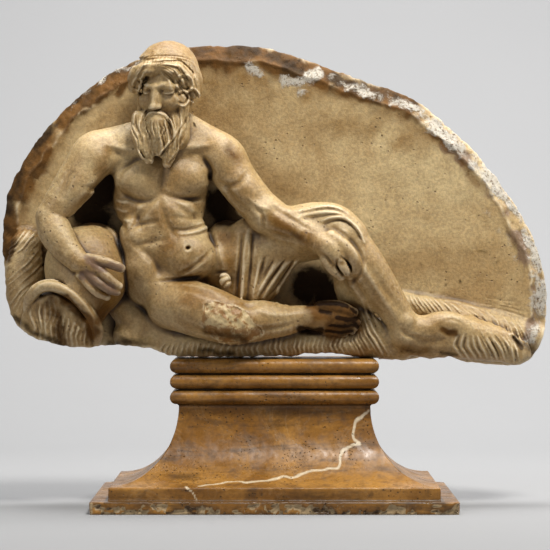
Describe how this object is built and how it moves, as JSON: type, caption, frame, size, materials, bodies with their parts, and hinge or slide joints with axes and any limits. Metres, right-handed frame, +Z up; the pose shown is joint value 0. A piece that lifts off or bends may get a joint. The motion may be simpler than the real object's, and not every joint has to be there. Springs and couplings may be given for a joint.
{
  "type": "marble relief",
  "caption": "Marble relief fragment of a bearded river figure reclining on an urn, standing on a moulded rectangular stone base.",
  "frame": {"origin": "centre of the underside of the base, where it stands on the ground", "axes": "+Z up, +X to the viewer's right along the relief's width, the carved face looks along -Y"},
  "size_m": [0.5457, 0.257, 0.4603],
  "materials": {
    "aged_marble": "worn honey-coloured marble with brown stains and lime crust",
    "golden_marble": "polished golden-brown marble with pale veins"
  },
  "bodies": {
    "root": {"relief": "aged_marble", "base": "golden_marble"}
  },
  "joints": []
}
